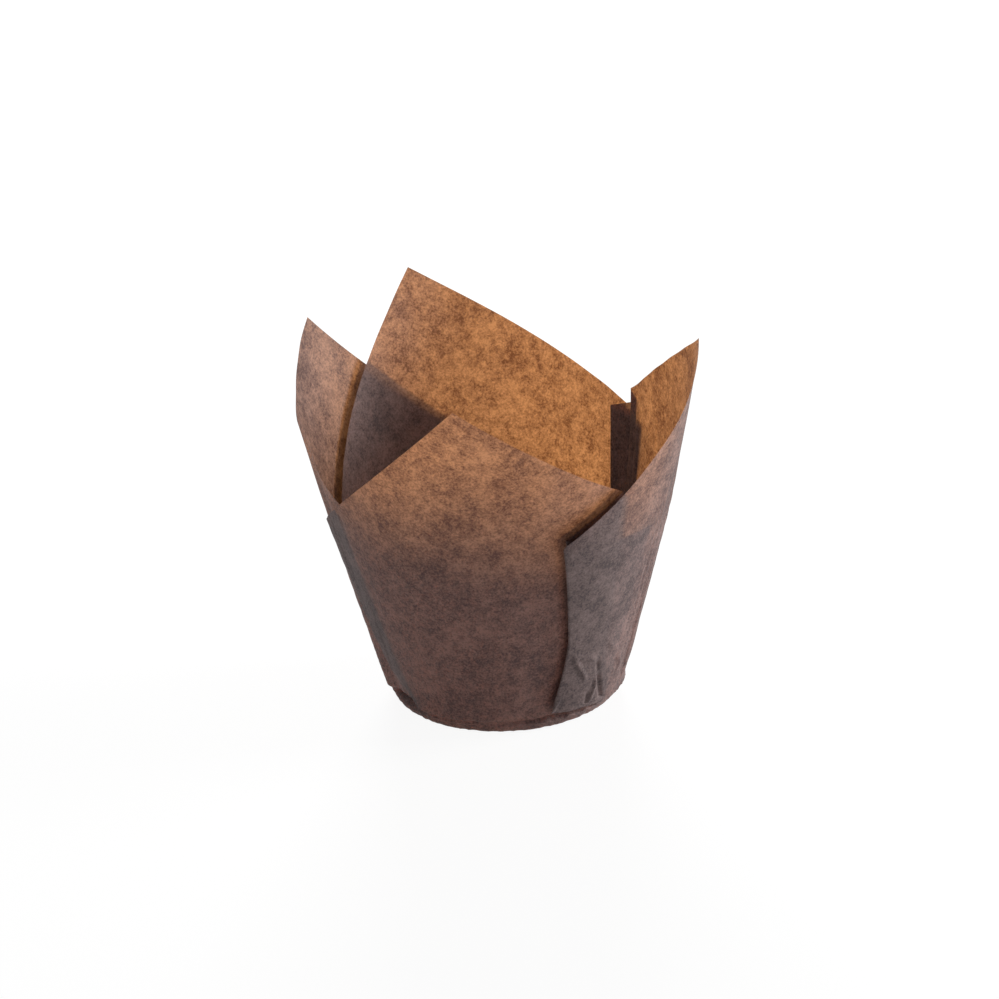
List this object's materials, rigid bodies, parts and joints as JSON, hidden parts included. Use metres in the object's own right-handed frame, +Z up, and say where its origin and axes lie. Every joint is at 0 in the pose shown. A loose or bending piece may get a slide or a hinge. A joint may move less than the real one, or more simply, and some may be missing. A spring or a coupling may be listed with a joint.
{
  "type": "tulip baking cup",
  "caption": "Baking cup folded from one square of brown greaseproof paper, with a round flat base, a flared pleated wall and four pointed petals.",
  "frame": {"origin": "centre of the round flat base, on the surface it rests on", "axes": "+Z up out of the cup's mouth, +X towards the petal that leans out on the right, -Y towards the lowest petal's side, which faces the viewer"},
  "size_m": [0.0868, 0.0976, 0.0864],
  "materials": {
    "paper": "thin brown greaseproof paper, matt, slightly see-through, with cloudy fibres and press creases"
  },
  "bodies": {
    "root": {"liner": "paper"}
  },
  "joints": []
}
